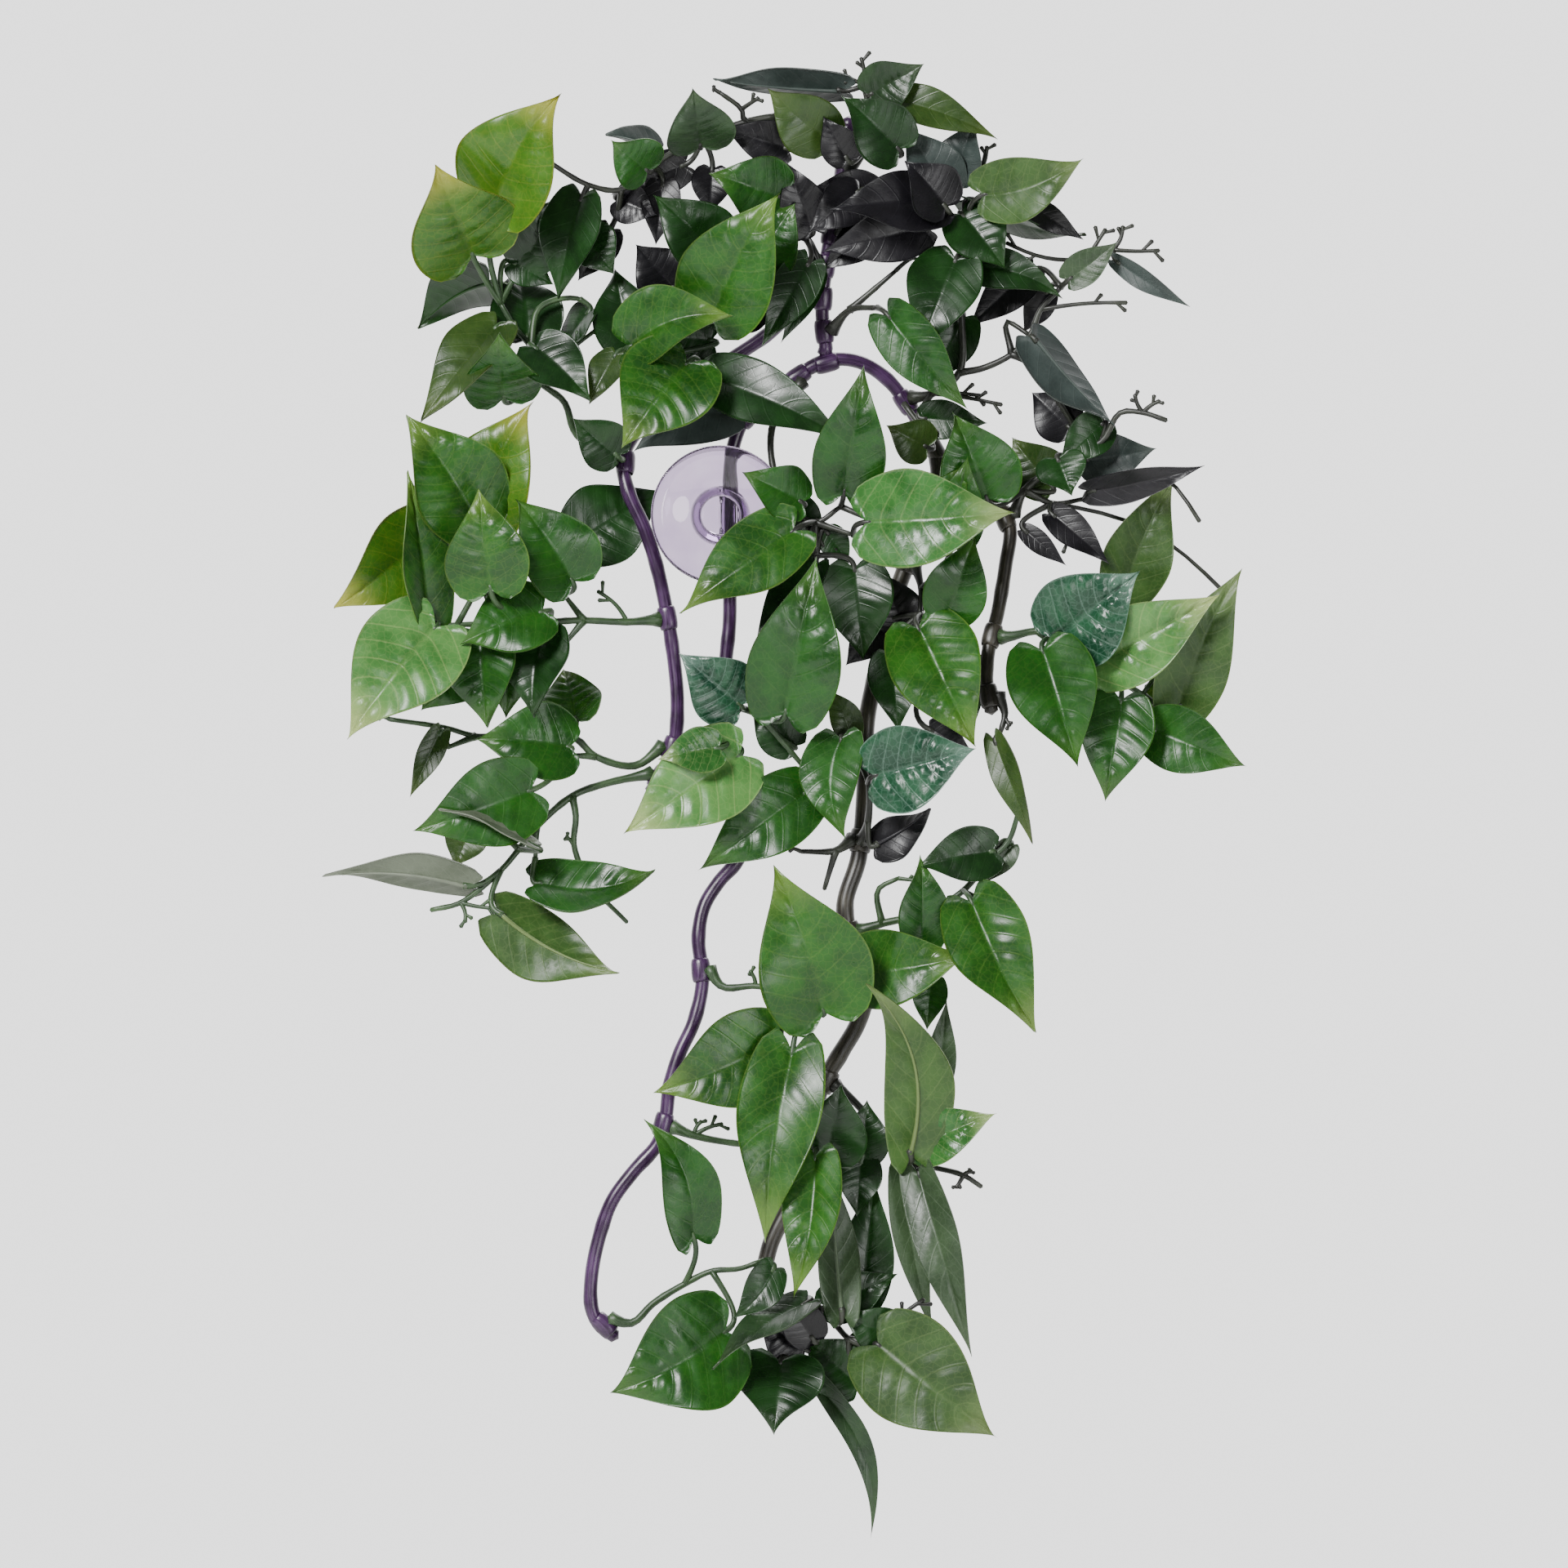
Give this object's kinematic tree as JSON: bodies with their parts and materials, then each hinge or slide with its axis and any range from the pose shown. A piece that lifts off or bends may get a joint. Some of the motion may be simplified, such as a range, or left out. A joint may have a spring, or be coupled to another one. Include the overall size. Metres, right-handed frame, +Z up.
{
  "type": "artificial hanging philodendron vine with suction cup",
  "caption": "Trailing artificial vine of heart-shaped plastic leaves on bendable stems, held behind a clear suction cup that sticks to glass.",
  "frame": {"origin": "centre of the suction cup's face, in the plane of its lip", "axes": "+Z up, as it hangs; the cup's face looks along -Y, towards the glass and the picture's viewer; +X to the viewer's right"},
  "size_m": [0.1997, 0.0431, 0.3204],
  "materials": {
    "clear_pvc": "clear, milky, glossy",
    "purple_stem": "satin moulded",
    "brown_stem": "satin moulded",
    "leaf_plastic": "satin, veined"
  },
  "bodies": {
    "root": {"suction_cup": "clear_pvc", "centre_vine": "purple_stem", "trunk": "purple_stem", "left_vine": "purple_stem", "right_vine": "brown_stem", "side_vine": "brown_stem", "upper_left_spray": "leaf_plastic", "left_middle_spray": "leaf_plastic", "left_lower_spray": "leaf_plastic", "left_hanging_spray": "leaf_plastic", "top_left_spray": "leaf_plastic", "top_centre_spray": "leaf_plastic", "heart_spray": "leaf_plastic", "crown_spray": "leaf_plastic", "upper_fan_spray": "leaf_plastic", "cross_spray": "leaf_plastic", "right_upper_spray": "leaf_plastic", "right_fan_spray": "leaf_plastic", "hub_spray": "leaf_plastic", "right_heart_spray": "leaf_plastic", "middle_spray": "leaf_plastic", "right_middle_spray": "leaf_plastic", "right_edge_spray": "leaf_plastic", "side_tip_spray": "leaf_plastic", "right_lower_spray": "leaf_plastic", "bright_spray": "leaf_plastic", "lower_middle_spray": "leaf_plastic", "arched_spray": "leaf_plastic", "left_end_spray": "leaf_plastic", "right_end_spray": "leaf_plastic"}
  },
  "joints": []
}
